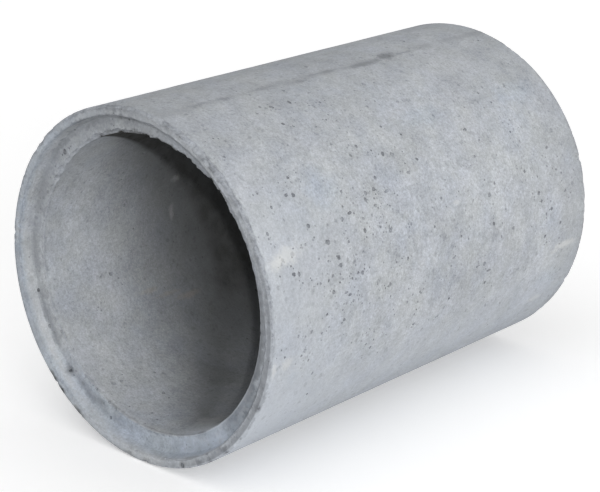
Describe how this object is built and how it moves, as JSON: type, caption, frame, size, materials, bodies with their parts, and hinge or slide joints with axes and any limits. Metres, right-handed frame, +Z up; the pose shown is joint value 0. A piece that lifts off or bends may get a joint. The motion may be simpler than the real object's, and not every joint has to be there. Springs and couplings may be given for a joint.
{
  "type": "concrete sewer pipe",
  "caption": "Precast concrete sewer pipe lying on its side, straight bore, recessed socket at one end and stepped tongue at the other.",
  "frame": {"origin": "centre of the pipe's length and width, on the ground that it lies on", "axes": "+Y along the pipe from the socket end to the tongue end, +Z up"},
  "size_m": [0.72, 1.026, 0.72],
  "materials": {
    "concrete": "dry cast concrete, matt, light blue-grey, pitted, with grey weathering"
  },
  "bodies": {
    "root": {"concrete_pipe": "concrete"}
  },
  "joints": []
}
